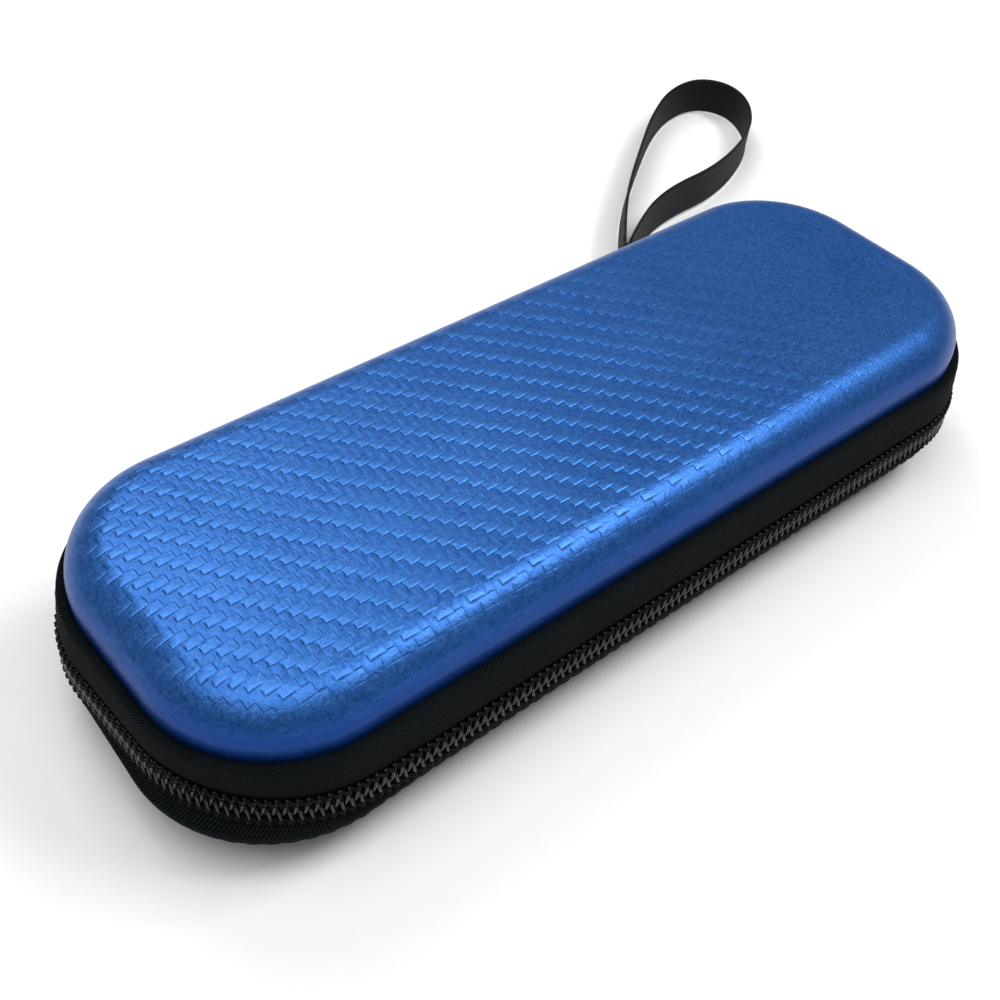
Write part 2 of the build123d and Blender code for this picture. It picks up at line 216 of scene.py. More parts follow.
def tube_rings(path, radius, sides):
    """Rings of a round tube along a path, carried along without twist."""
    path = np.asarray(path, float)
    tangent = np.gradient(path, axis=0)
    tangent /= np.linalg.norm(tangent, axis=1)[:, None]
    axis = np.eye(3)[np.argmin(np.abs(tangent[0]))]
    across = np.cross(tangent[0], axis)
    angles = np.arange(sides) * 2 * math.pi / sides
    radius = np.broadcast_to(radius, len(path))
    rings = []
    for point, t, r in zip(path, tangent, radius):
        across = across - t * (across @ t)
        across /= np.linalg.norm(across)
        other = np.cross(t, across)
        rings.append(point + r * (np.outer(np.cos(angles), across)
                                  + np.outer(np.sin(angles), other)))
    return np.array(rings)


# ---- Materials -----------------------------------------------------------------------
class Shader:
    """A material with short names for the nodes used here."""

    def __init__(self, name, color, roughness, **sockets):
        self.material = bpy.data.materials.new(name)
        self.material.use_nodes = True
        self.tree = self.material.node_tree
        self.bsdf = self.tree.nodes["Principled BSDF"]
        self.set("Base Color", color)
        self.set("Roughness", roughness)
        for key, value in sockets.items():
            self.set(key.replace("_", " ").title().replace("Ior", "IOR"), value)

    def set(self, socket, value):
        target = self.bsdf.inputs[socket]
        if isinstance(value, bpy.types.NodeSocket):
            self.tree.links.new(value, target)
        elif isinstance(value, tuple):
            target.default_value = (*value, 1) if len(value) == 3 else value
        else:
            target.default_value = value

    def feed(self, node, index, value):
        if isinstance(value, bpy.types.NodeSocket):
            self.tree.links.new(value, node.inputs[index])
        elif value is not None:
            node.inputs[index].default_value = value

    def math(self, operation, a, b=None, c=None):
        node = self.tree.nodes.new("ShaderNodeMath")
        node.operation = operation
        for index, value in enumerate((a, b, c)):
            self.feed(node, index, value)
        return node.outputs[0]

    def pattern(self):
        """The two pattern coordinates, in metres."""
        uv = self.tree.nodes.new("ShaderNodeUVMap")
        uv.uv_map = "pattern"
        split = self.tree.nodes.new("ShaderNodeSeparateXYZ")
        self.tree.links.new(uv.outputs[0], split.inputs[0])
        return split.outputs[0], split.outputs[1]

    def place(self):
        """The point in the row frame."""
        return self.tree.nodes.new("ShaderNodeTexCoord").outputs["Object"]

    def height(self):
        split = self.tree.nodes.new("ShaderNodeSeparateXYZ")
        self.tree.links.new(self.place(), split.inputs[0])
        return split.outputs[2]

    def noise(self, size, detail=3.0, where=None, rough=0.6):
        node = self.tree.nodes.new("ShaderNodeTexNoise")
        self.tree.links.new(where or self.place(), node.inputs["Vector"])
        node.inputs["Scale"].default_value = 1 / size
        node.inputs["Detail"].default_value = detail
        node.inputs["Roughness"].default_value = rough
        return node.outputs["Fac"]

    def cells(self, size):
        node = self.tree.nodes.new("ShaderNodeTexVoronoi")
        self.tree.links.new(self.place(), node.inputs["Vector"])
        node.inputs["Scale"].default_value = 1 / size
        return node.outputs["Distance"]

    def ribs(self, along, pitch):
        """A soft wave from 0 to 1 with a pitch along one coordinate."""
        wave = self.math("SINE", self.math("MULTIPLY", along, 2 * math.pi / pitch))
        return self.math("MULTIPLY_ADD", wave, 0.5, 0.5)

    def mix(self, share, color_a, color_b):
        node = self.tree.nodes.new("ShaderNodeMix")
        node.data_type = "RGBA"
        self.feed(node, 0, share)
        for index, color in ((6, color_a), (7, color_b)):
            self.feed(node, index, (*color, 1) if isinstance(color, tuple) else color)
        return node.outputs[2]

    def remap(self, value, low, high, out_low, out_high):
        node = self.tree.nodes.new("ShaderNodeMapRange")
        for index, number in enumerate((value, low, high, out_low, out_high)):
            self.feed(node, index, number)
        return node.outputs[0]

    def bump(self, height, distance, strength=1.0, under=None):
        node = self.tree.nodes.new("ShaderNodeBump")
        node.inputs["Strength"].default_value = strength
        node.inputs["Distance"].default_value = distance
        self.tree.links.new(height, node.inputs["Height"])
        if under is not None:
            self.tree.links.new(under, node.inputs["Normal"])
        return node.outputs[0]


# ---- The embossed weave --------------------------------------------------------------
COLUMN, ROW = 1.65 * MM, 1.95 * MM          # width of the weave's upright and level strands
EMBOSS = 0.13 * MM                          # height of the relief
UPRIGHT, UPRIGHT_LEFT = 0.2, 0.8            # an upright strand's height, of a level one's
UPRIGHT_FADE = (-0.06, 0.0)                 # between these u the upright strands sink
CREASE = 0.12                               # width of the crease round a scale
DRIFT = 0.07 * MM                           # how far the strands wander
FADE_FROM, FADE_TO, FADE_KEEP = -0.01, 0.06, 0.13   # the relief fades to the right
# Heights in the row frame: where the weave ends at the edge, and where the walls get their
# painted shade.
PRESSED_FROM, PRESSED_TO = ZIP_Z + DEPTH[LID] - 2.2 * MM, ZIP_Z + DEPTH[LID] - 0.3 * MM
PAINTED_WALL_SHADE_FROM = ZIP_Z + 0.72 * DEPTH[LID]
PAINTED_WALL_SHADE_TO = ZIP_Z + 0.91 * DEPTH[LID]


def scale_height(along, across):
    """One strand's float: high at its lower left, dying away to its upper right."""
    far = np.abs((along - 0.46) / 0.54) ** 2.4 + np.abs((across - 0.42) / 0.6) ** 2.4
    return np.sqrt(np.clip(1 - far, 0, 1)) * (1 - 0.45 * smooth_step(along + across, 0.7, 1.8))


def emboss(u, v):
    """Height of the embossed twill from 0 to 1.

    Level strands, two columns long, step across the lid in bands like scales. The upright
    strands between the bands are lower, and nearly flat except at the left.
    """
    i, j = u / COLUMN, v / ROW
    k = np.mod(np.floor(i) + np.floor(j), 4)
    fi, fj = i - np.floor(i), j - np.floor(j)
    upright = UPRIGHT_LEFT + (UPRIGHT - UPRIGHT_LEFT) * smooth_step(u, *UPRIGHT_FADE)
    return np.where(k < 2, scale_height((fi + k) / 2, fj),
                    upright * scale_height((fj + k - 2) / 2, fi))


def drift(u, v):
    """The weave's own coordinates, which wander a little as pressed cloth does."""
    wave_u = (np.sin(u / (2.9 * MM) + 1.7 * np.sin(v / (4.1 * MM)))
              + np.sin(v / (1.9 * MM) + u / (7 * MM)))
    wave_v = (np.sin(v / (3.3 * MM) + 1.4 * np.sin(u / (5.3 * MM)))
              + np.sin(u / (2.1 * MM) - v / (9 * MM)))
    return u + DRIFT * wave_u, v + DRIFT * wave_v


def emboss_depth(u, slope):
    """How much of the relief is left: less to the right and round the pressed edge."""
    fade = 1 - (1 - FADE_KEEP) * smooth_step(u, FADE_FROM, FADE_TO)
    return EMBOSS * fade * (0.1 + 0.9 * smooth_step(slope, 0.8, 1.55))


def leathercloth():
    """Satin metallic blue with the weave's creases and a leather grain; painted shade in the
    creases and on the walls, painted sheen and highlights on the strands.
    """
    m = Shader("blue_leathercloth", (0.05, 0.17, 0.6), 0.4,
               metallic=0.6, specular_ior_level=0.06, coat_weight=0.06, coat_roughness=0.3)
    u, v = m.pattern()
    height = m.height()
    i, j = m.math("DIVIDE", u, COLUMN), m.math("DIVIDE", v, ROW)
    k = m.math("FLOORED_MODULO", m.math("ADD", m.math("FLOOR", i), m.math("FLOOR", j)), 4)
    fi, fj = m.math("FRACT", i), m.math("FRACT", j)
    # A crease along the bottom and the left end of each scale, on both sides of the line.
    level = m.math("LESS_THAN", k, 1.5)
    first, last = m.math("LESS_THAN", k, 0.5), m.math("GREATER_THAN", k, 2.5)
    dying = m.math("MULTIPLY_ADD", fi, -0.7, 1)
    second = m.math("MULTIPLY", m.math("SUBTRACT", level, first), dying)
    low = m.math("MULTIPLY", m.remap(fj, 0, CREASE, 1, 0), m.math("ADD", first, second))
    high = m.math("MULTIPLY", m.remap(fj, 1 - CREASE, 1, 0, 1),
                  m.math("MULTIPLY_ADD", first, dying, last))
    left = m.math("MULTIPLY", m.remap(fj, 0.5, 0.8, 1, 0),
                  m.math("ADD", m.math("MULTIPLY", m.remap(fi, 0, CREASE, 1, 0), first),
                         m.math("MULTIPLY", m.remap(fi, 1 - CREASE, 1, 0, 1), last)))
    # Towards the left the upright strands' ends show too.
    third = m.math("SUBTRACT", 1, m.math("ADD", level, last))
    end = m.math("MULTIPLY", m.math("MAXIMUM", m.remap(fi, 0, CREASE, 1, 0),
                                    m.remap(fj, 0, CREASE, 1, 0)), third)
    end = m.math("MULTIPLY", end, m.remap(u, *UPRIGHT_FADE, 0.9, 0.15))
    crease = m.math("MAXIMUM", m.math("MAXIMUM", low, high), m.math("MAXIMUM", left, end))
    # Painted sheen: the level strands are brighter, fading from the lower left to the upper
    # right of each scale.
    band = m.math("MULTIPLY", level,
                  m.remap(m.math("ADD", k, m.math("ADD", fi, fj)), 0, 3.2, 1, 0.2))
    fine = m.math("MULTIPLY", m.ribs(v, ROW / 5), level)
    # fade weakens the relief's painted light and shade, and the crease dents, to the right and
    # round the pressed edge.
    fade = m.math("MULTIPLY", m.remap(u, FADE_FROM, FADE_TO, 1, FADE_KEEP),
                  m.remap(height, PRESSED_FROM, PRESSED_TO, 0.3, 1))
    cloud = m.noise(0.03, 2)
    grain = m.remap(m.noise(0.0006, 3, rough=0.7), 0.3, 0.7, 0, 1)
    # Painted highlight: a bright line along each scale just above its crease.
    lip = m.math("MULTIPLY", m.remap(fj, 1.2 * CREASE, 3 * CREASE, 1, 0),
                 m.math("ADD", first, second))
    # Painted light and shade of the relief: sheen on the level strands, highlights on the lips,
    # painted shade in the creases.
    painted_relief_light = m.math("ADD", m.math("MULTIPLY_ADD", band, 0.36, m.math("MULTIPLY", lip, 0.25)),
                     m.math("MULTIPLY", crease, -0.6))
    mottle = m.remap(m.noise(0.0016, 2), 0.35, 0.65, -0.04, 0.04)
    painted_light_and_mottle = m.math("ADD", m.math("MULTIPLY", painted_relief_light, fade),
                  m.math("MULTIPLY_ADD", cloud, 0.4, mottle))
    blue = m.mix(m.math("MULTIPLY_ADD", grain, 0.6, m.math("SUBTRACT", painted_light_and_mottle, 0.15)),
                 (0.016, 0.084, 0.32), (0.063, 0.225, 0.65))
    # Painted shade: the walls' base colour darkens below the rounded edge towards the mouth,
    # standing in for the shade the walls are in.
    wall = m.remap(height, PAINTED_WALL_SHADE_FROM, PAINTED_WALL_SHADE_TO, 0.8, 0)
    m.set("Base Color", m.mix(wall, blue, (0.001, 0.035, 0.22)))
    m.set("Roughness", m.math("MULTIPLY_ADD", grain, 0.14, 0.27))
    creases = m.bump(m.math("MULTIPLY", crease, fade), -0.09 * MM, 0.9)
    strands = m.bump(m.math("MULTIPLY", fine, fade), 0.006 * MM, 0.5, creases)
    m.set("Normal", m.bump(grain, 0.05 * MM, 0.6, strands))
    return m.material


def woven(name, color, painted_light_color, roughness, pitch, kind, depth=0.08 * MM, sheen=0.04,
          specular=0.14):
    """Black cloth: twill, herringbone, plain weave, knit, or ribs across the length."""
    m = Shader(name, color, roughness, sheen_weight=sheen, sheen_roughness=0.45,
               specular_ior_level=specular)
    u, v = m.pattern()
    if kind == "plain":
        height = m.math("MULTIPLY", m.ribs(u, pitch), m.ribs(v, pitch))
    elif kind == "ribs":
        height = m.math("MULTIPLY_ADD", m.ribs(u, pitch), 0.7,
                        m.math("MULTIPLY", m.ribs(v, pitch * 0.7), 0.3))
    elif kind == "herringbone":
        fold = m.math("PINGPONG", v, 2.6 * MM)
        slant = m.math("ADD", u, m.math("MULTIPLY", fold, 1.1))
        height = m.math("MULTIPLY_ADD", m.ribs(slant, pitch), 0.75,
                        m.math("MULTIPLY", m.ribs(v, pitch * 0.6), 0.25))
    elif kind == "knit":
        bend = m.math("MULTIPLY", m.math("ABSOLUTE", m.math("SINE", m.math(
            "MULTIPLY", u, math.pi / pitch))), 0.6 * pitch)
        height = m.math("MULTIPLY", m.ribs(m.math("ADD", v, bend), pitch),
                        m.math("MULTIPLY_ADD", m.ribs(u, pitch), 0.5, 0.5))
    fuzz = m.noise(0.0004, 2)
    wear = m.noise(0.012, 3)
    # Painted light and shade: the colour follows the weave's height, lighter on the raised
    # threads and darker in the gaps, with random fuzz and wear on top.
    share = m.math("MULTIPLY_ADD", height, 0.95, m.math(
        "MULTIPLY_ADD", m.math("MULTIPLY", fuzz, wear), 0.6, -0.2))
    m.set("Base Color", m.mix(share, color, painted_light_color))
    m.set("Roughness", m.math("MULTIPLY_ADD", fuzz, 0.2, roughness - 0.1))
    weave = m.bump(height, depth, 0.9)
    m.set("Normal", m.bump(fuzz, 0.05 * MM, 0.35, weave))
    return m.material


def foam():
    m = Shader("eva_foam", (0.02, 0.02, 0.022), 0.8)
    cells = m.cells(0.0006)
    # Painted shade: the colour follows the cells' depth, darker in the pits.
    m.set("Base Color", m.mix(cells, (0.014, 0.014, 0.016), (0.035, 0.035, 0.038)))
    m.set("Normal", m.bump(cells, 0.1 * MM, 0.5))
    return m.material


def nylon():
    """Drawn nylon wire: dark, shiny, with fine lengthwise scratches."""
    m = Shader("zip_coil", (0.004, 0.006, 0.007), 0.24, specular_ior_level=0.28,
               coat_weight=0.04, coat_roughness=0.15)
    scratches = m.noise(0.00025, 2)
    m.set("Base Color", m.mix(scratches, (0.0012, 0.002, 0.0024), (0.006, 0.009, 0.010)))
    m.set("Roughness", m.math("MULTIPLY_ADD", scratches, 0.2, 0.1))
    m.set("Normal", m.bump(scratches, 0.02 * MM, 0.3))
    return m.material


def enamel():
    """Black enamel over cast zinc, rubbed bright where it is handled."""
    m = Shader("zip_metal", (0.012, 0.012, 0.014), 0.3, metallic=0.25, coat_weight=0.3,
               coat_roughness=0.12)
    wear = m.remap(m.noise(0.0022, 5, rough=0.75), 0.62, 0.72, 0, 1)
    speckle = m.noise(0.0003, 2)
    m.set("Base Color", m.mix(wear, (0.012, 0.012, 0.014), (0.09, 0.088, 0.085)))
    m.set("Roughness", m.math("MULTIPLY_ADD", speckle, 0.2, 0.22))
    m.set("Normal", m.bump(speckle, 0.03 * MM, 0.25))
    return m.material


def thread_material():
    """Twisted polyester thread, with painted shade in the grooves of its twist."""
    m = Shader("sewing_thread", (0.007, 0.009, 0.010), 0.6, sheen_weight=0.02,
               specular_ior_level=0.1)
    u, v = m.pattern()
    twist = m.ribs(m.math("ADD", u, m.math("MULTIPLY", v, 0.6)), 0.28 * MM)
    # Painted shade: the colour follows the twist, darker in its grooves.
    m.set("Base Color", m.mix(twist, (0.002, 0.0026, 0.003), (0.010, 0.0135, 0.015)))
    m.set("Normal", m.bump(twist, 0.05 * MM, 0.8))
    return m.material


BLUE = leathercloth()
TAPE = woven("zip_tape", (0.0006, 0.0009, 0.0012), (0.014, 0.019, 0.0215), 0.75, 0.7 * MM,
             "herringbone", 0.2 * MM, 0.0, 0.03)
KNIT = woven("knit_lining", (0.010, 0.010, 0.012), (0.035, 0.035, 0.040), 0.85, 1.1 * MM, "knit",
             0.15 * MM, 0.10)
BINDING = woven("edge_binding", (0.007, 0.007, 0.008), (0.028, 0.028, 0.031), 0.7, 0.8 * MM,
                "ribs", 0.12 * MM)
HINGE = woven("hinge_fabric", (0.002, 0.003, 0.0035), (0.013, 0.016, 0.0175), 0.75, 0.55 * MM,
              "plain", 0.12 * MM, 0.01, 0.06)
RIBBON = woven("strap_ribbon", (0.003, 0.004, 0.0045), (0.013, 0.017, 0.018), 0.7, 0.5 * MM,
               "ribs", 0.08 * MM)
ELASTIC = woven("elastic", (0.016, 0.016, 0.018), (0.070, 0.070, 0.076), 0.75, 0.9 * MM, "ribs",
                0.25 * MM)
NET = woven("pocket_net", (0.012, 0.012, 0.014), (0.035, 0.035, 0.040), 0.7, 0.3 * MM, "plain",
            0.04 * MM)
FOAM, NYLON, METAL, THREAD = foam(), nylon(), enamel(), thread_material()


# ---- Camera and stage ----------------------------------------------------------------
CAMERA_AT = (-0.1456, -0.1320, 0.1998)
CAMERA_ANGLES = (-43.705, 43.996, 5.669)    # azimuth, elevation and roll in degrees
WORLD_LIGHT = 0.14
LIGHTS = [                                  # name, place, point it faces, size, watts
    ("top_box", (-0.22, -0.09, 0.8), (0, 0, 0), (0.8, 0.8), 5.1),
    ("back_box", (0.22, 0.42, 0.56), (0.02, 0, 0.03), (0.4, 0.4), 0.4),
    ("left_box", (0.05, 0.55, 0.72), (-0.08, 0, 0.03), (0.3, 0.3), 1.35),
    ("edge_strip", (0.42, -0.22, 0.70), (0, -0.03, 0.03), (0.4, 0.18), 2.9),
]


def make_camera():
    azimuth, elevation, roll = (math.radians(d) for d in CAMERA_ANGLES)
    back = Vector((math.sin(azimuth) * math.cos(elevation),
                   -math.cos(azimuth) * math.cos(elevation), math.sin(elevation)))
    right = Vector((math.cos(azimuth), math.sin(azimuth), 0))
    up = back.cross(right)
    x = right * math.cos(roll) + up * math.sin(roll)
    y = up * math.cos(roll) - right * math.sin(roll)
    data = bpy.data.cameras.new("camera")
    data.sensor_width, data.lens = 36.0, 48.4
    data.shift_x, data.shift_y = 0.0152, -0.0140
    data.clip_start, data.clip_end = 0.01, 20
    camera = bpy.data.objects.new("camera", data)
    bpy.context.scene.collection.objects.link(camera)
    turn = Matrix((x, y, back)).transposed().to_4x4()
    camera.matrix_world = Matrix.Translation(CAMERA_AT) @ turn
    bpy.context.scene.camera = camera


def area_light(name, at, toward, size, watts):
    """A white rectangular light at one point, turned towards another."""
    data = bpy.data.lights.new(name, "AREA")
    data.shape, data.size, data.size_y = "RECTANGLE", *size
    data.energy = watts
    light = bpy.data.objects.new(name, data)
    bpy.context.scene.collection.objects.link(light)
    direction = Vector(toward) - Vector(at)
    light.matrix_world = (Matrix.Translation(at)
                          @ direction.to_track_quat("-Z", "Y").to_matrix().to_4x4())


def make_stage():
    floor_points = np.array([[[x, y, 0] for y in np.linspace(-4, 4, 9)]
                             for x in np.linspace(-4, 4, 9)])
    paper = Shader("floor_paper", (0.94, 0.94, 0.94), 0.9, specular_ior_level=0.1)
    fibres = paper.noise(0.004, 3)
    paper.set("Base Color", paper.mix(fibres, (0.93, 0.93, 0.93), (0.96, 0.96, 0.96)))
    floor = Sheet().grid(floor_points).make("floor", paper.material)
    world = bpy.data.worlds.new("studio")
    world.use_nodes = True
    background = world.node_tree.nodes["Background"]
    background.inputs[0].default_value = (1, 1, 1, 1)
    background.inputs[1].default_value = WORLD_LIGHT
    bpy.context.scene.world = world
    bpy.context.scene.view_settings.view_transform = "Standard"
    for light in LIGHTS:
        area_light(*light)


# ---- Wrist strap ---------------------------------------------------------------------
STRAP_W, STRAP_T = 10 * MM, 0.9 * MM
STRAP_LOW = 1.6 * MM
STRAP_EXIT = (0.075, 0.056)
STRAP_HEADING = math.radians(37.5)
STRAP_DROOP = math.radians(0.55)
STRAP_CLEAR, STRAP_APART = 0.35 * MM, 0.55 * MM
STITCH_STEP, STITCH_SWING, STITCH_OUT, STITCH_BENDS = 0.42 * MM, 0.18 * MM, 0.22 * MM, 10
STRAP_ROUTE = [
    (85.0, 67.3), (97.5, 78.0), (112.0, 88.6), (128.0, 99.8), (143.0, 107.3), (156.0, 107.8),
    (161.5, 98.5), (155.5, 85.5), (141.0, 75.2), (122.0, 68.8), (103.5, 68.2), (88.5, 63.6),
]


def spline_points(control):
    """Points along the NURBS spline of some control points."""
    curve = bpy.data.curves.new("route", "CURVE")
    curve.dimensions = "3D"
    curve.resolution_u = 12
    spline = curve.splines.new("NURBS")
    spline.points.add(len(control) - 1)
    for point, at in zip(spline.points, control):
        point.co = (*at, 1)
    spline.order_u = 3
    spline.use_endpoint_u = True
    holder = bpy.data.objects.new("route", curve)
    bpy.context.scene.collection.objects.link(holder)
    mesh = bpy.data.meshes.new_from_object(holder)
    points = np.array([v.co for v in mesh.vertices])
    bpy.data.objects.remove(holder)
    bpy.data.curves.remove(curve)
    bpy.data.meshes.remove(mesh)
    return points


def strap_height(x, y):
    """Height of the ribbon's middle, which sinks from the exit on."""
    ahead = ((x - STRAP_EXIT[0]) * math.cos(STRAP_HEADING)
             + (y - STRAP_EXIT[1]) * math.sin(STRAP_HEADING))
    return STRAP_LOW + STRAP_W / 2 - ahead * math.tan(STRAP_DROOP)


def ribbon(sheet, path, shift=0.0, lean=0.0):
    """A flat ribbon standing on its edge along a path, with thicker selvedges."""
    ahead = np.gradient(path, axis=0)
    ahead /= np.linalg.norm(ahead, axis=1)[:, None]
    across = np.cross(ahead, [0, 0, 1])
    across /= np.linalg.norm(across, axis=1)[:, None]
    up = np.cross(across, ahead)
    length = np.concatenate([[0], np.cumsum(np.linalg.norm(np.diff(path, axis=0), axis=1))])
    high = np.linspace(-1, 1, 15)
    thick = STRAP_T / 2 * (0.66 + 0.30 * smooth_step(np.abs(high), 0.72, 0.86))
    thick *= np.sqrt(np.clip(1 - smooth_step(np.abs(high), 0.9, 1.02) ** 2, 0, 1))
    loop = [(t, w) for t, w in zip(thick, high)] + [(-t, w) for t, w in
                                                    zip(thick[::-1], high[::-1])]
    # A slight wave along the edges, as soft ribbon has.
    wave = lean * np.sin(length / 0.021) * MM
    points = np.array([[p + a * (t + shift + w * s) + u * (w * STRAP_W / 2)
                        for t, w in loop]
                       for p, a, u, s in zip(path, across, up, wave)])
    uv = np.array([[(l, w * STRAP_W / 2) for t, w in loop] for l in length])
    sheet.grid(points, uv, wrap_cols=True, ends=True)


def make_strap():
    heading = Vector((math.cos(STRAP_HEADING), math.sin(STRAP_HEADING)))
    side = Vector((-heading.y, heading.x)) * STRAP_APART
    start = Vector(STRAP_EXIT) + heading * STRAP_CLEAR
    plan = [start + side, *(Vector(p) * MM for p in STRAP_ROUTE), start - side]
    route = spline_points([(p.x, p.y, strap_height(p.x, p.y)) for p in plan])
    sheet = Sheet()
    ribbon(sheet, route, lean=0.35)
    strap = sheet.make("wrist_strap_ribbon", RIBBON)
    finish_piece(strap, "base", "strap_ribbon", "wrist_strap")


def make_stub():
    """The two plies that are sewn to the hinge, and their block of stitches."""
    low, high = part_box("wrist_strap_stub")
    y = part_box("wrist_strap_tack")[0].y - STRAP_T
    z = (low.z + high.z) / 2
    route = spline_points([(low.x, y, z), (0.047, y, z), (0.0515, y, z), (0.058, 0.0427, z),
                           (0.066, 0.0490, z), (*STRAP_EXIT, z)])
    sheet = Sheet()
    for ply in (-0.5, 0.5):
        ribbon(sheet, route, shift=ply * STRAP_T * 0.96)
    finish_piece(sheet.make("strap_stub_plies", RIBBON), "base", "strap_ribbon",
                 "wrist_strap_stub")
    tack_low, tack_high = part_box("wrist_strap_tack")
    face = tack_low.y
    stitches = Sheet()
    for x in steps(tack_low.x, tack_high.x, STITCH_STEP):
        zigzag = np.array([(x + STITCH_SWING * (-1) ** k, face + STITCH_OUT,
                            tack_low.z + (tack_high.z - tack_low.z) * k / STITCH_BENDS)
                           for k in range(STITCH_BENDS + 1)])
        rings = tube_rings(zigzag, 0.19 * MM, 6)
        stitches.grid(rings, wrap_cols=True, ends=True)
    finish_piece(stitches.make("strap_tack_stitches", THREAD), "base", "sewing_thread",
                 "wrist_strap_tack")


# ---- Shells --------------------------------------------------------------------------
CROWN = {LID: 0.4 * MM, BASE: 0.0}          # how far a roof swells at its middle
LEAN = 0.25 * MM                            # of a wall at its mouth
LEAN_FROM, LEAN_TO = 3.8 * MM, 5.5 * MM


def draw_in(height):
    """How far a wall leans in towards its mouth, to leave the slider room."""
    return LEAN * (1 - smooth_step(height, LEAN_FROM, LEAN_TO))


def bowl_profile(into, side, wall_step, arc_step, flat_step):
    """Insets, heights, slopes and unrolled radii of a bowl's section, from its mouth inwards."""
    inset, r = WALL + into, EDGE_R[side] - into
    top = DEPTH[side] - into
    wall = [(inset + draw_in(h), h, 0.0) for h in steps(MOUTH, top - r, wall_step)]
    arc = [(inset + r - r * math.cos(a), top - r + r * math.sin(a), a)
           for a in steps(0, math.pi / 2, arc_step / r)[1:]]
    flat = [(d, top, math.pi / 2) for d in steps(inset + r, CORNER_R, flat_step)[1:]]
    section = np.array(wall + arc + flat)
    run = np.concatenate([[0], np.cumsum(np.hypot(*np.diff(section[:, :2], axis=0).T))])
    return section, run[-1] - run


def bowl(sheet, into, side, step, relief=False, crown=0.0):
    """A bowl's skin as rings with a flat middle, with the weave raised on it."""
    section, unrolled = bowl_profile(into, side, step, step, step)
    nx, ny, na = (max(2, round(n / step)) for n in (2 * CX, 2 * CY, ARC))
    counts = [na, ny, na, nx, na, ny, na, nx]
    s = np.concatenate([STARTS[i] + np.arange(n) * LEGS[i] / n for i, n in enumerate(counts)])
    x, y, ox, oy = outline(s)
    inset, height, slope = (section[:, i][:, None] for i in range(3))
    u = x + ox * unrolled[:, None]
    v = y + oy * unrolled[:, None]
    u, v = drift(u, v)
    lift = relief * emboss(u, v) * emboss_depth(u, slope)
    out = CORNER_R - inset + lift * np.cos(slope)
    high = height + lift * np.sin(slope)
    dome = crown * (1 - smooth_step(CORNER_R - inset, 0, CORNER_R - WALL - into))
    points = np.stack(np.broadcast_arrays(x + ox * out, y + oy * out,
                                          ZIP_Z + side * (high + dome)), -1)
    sheet.grid(points, np.stack([u, v], -1), wrap_cols=True)
    gx, gy = np.meshgrid(np.linspace(-CX, CX, nx + 1), np.linspace(-CY, CY, ny + 1),
                         indexing="ij")
    u, v = drift(gx, gy)
    raised = relief * emboss(u, v) * emboss_depth(u, math.pi / 2)
    top = ZIP_Z + side * (DEPTH[side] - into + raised + crown)
    sheet.grid(np.stack([gx, gy, top], -1), np.stack([u, v], -1))


def rim(sheet, inset_a, inset_b, side):
    """The raw edge between two skins, at the mouth."""
    s = steps(0, ROUND, 1.5 * MM)[:-1]
    ring = np.stack([place(s, inset + draw_in(MOUTH), MOUTH, side)
                     for inset in (inset_a, inset_b)])
    sheet.grid(ring, wrap_cols=True)


def make_shell(side):
    half = HALF_NAMES[side]
    fine = 0.4 * MM if side == LID else 0.6 * MM
    cover = Sheet()
    bowl(cover, 0, side, fine, relief=True, crown=CROWN[side])
    rim(cover, WALL, WALL + COVER_T, side)
    finish_piece(cover.make(f"{half}_leathercloth", BLUE, weld=True), half, "blue_leathercloth",
                 f"{half}_cover")
    core = Sheet()
    bowl(core, COVER_T, side, 2 * MM)
    bowl(core, LINING_OUT, side, 2 * MM)
    rim(core, WALL + COVER_T, WALL + LINING_OUT, side)
    core_piece = core.make(f"{half}_foam_core", FOAM, weld=True)
    finish_piece(core_piece, half, "eva_foam", f"{half}_foam_shell")
    lining = Sheet()
    bowl(lining, LINING_OUT + LINING_T, side, 1 * MM)
    rim(lining, WALL + LINING_OUT, CAVITY, side)
    finish_piece(lining.make(f"{half}_knit_lining", KNIT, weld=True), half, "knit_lining",
                 f"{half}_lining")


# ---- Sections swept along the outline ------------------------------------------------
def rounded(section, rounds=3):
    """A closed section with its corners cut twice as often each round."""
    points = np.array(section, float)
    for _ in range(rounds):
        after = np.roll(points, -1, axis=0)
        points = np.stack([0.78 * points + 0.22 * after, 0.22 * points + 0.78 * after],
                          1).reshape(-1, 2)
    return points


def sweep(sheet, s, section, side, closed_way=False, sections=None, layout=place):
    """A closed (inset, height) section carried along the outline."""
    sections = np.repeat(section[None], len(s), 0) if sections is None else sections
    points = layout(s[:, None], sections[..., 0], sections[..., 1], side)
    run = np.concatenate([[0], np.cumsum(np.hypot(*np.diff(section, axis=0).T))])
    uv = np.stack(np.broadcast_arrays(s[:, None], run[None]), -1)
    sheet.grid(points, uv, wrap_rows=closed_way, wrap_cols=True, ends=not closed_way)


BIND_GAP, BIND_T = 0.4 * MM, 0.6 * MM
BIND_REACH = {LID: 5.2 * MM, BASE: 4.2 * MM}


def make_binding(side):
    half, lip, reach = HALF_NAMES[side], CAVITY + BIND_T, BIND_REACH[side]
    outside = WALL + draw_in(0)
    section = rounded([(outside, MOUTH), (outside, BIND_GAP), (lip, BIND_GAP), (lip, reach),
                       (CAVITY + 0.02 * MM, reach), (CAVITY + 0.02 * MM, MOUTH)])
    sheet = Sheet()
    sweep(sheet, steps(0, ROUND, 1 * MM)[:-1], section, side, closed_way=True)
    finish_piece(sheet.make(f"{half}_folded_binding", BINDING), half, "edge_binding",
                 f"{half}_edge_binding")


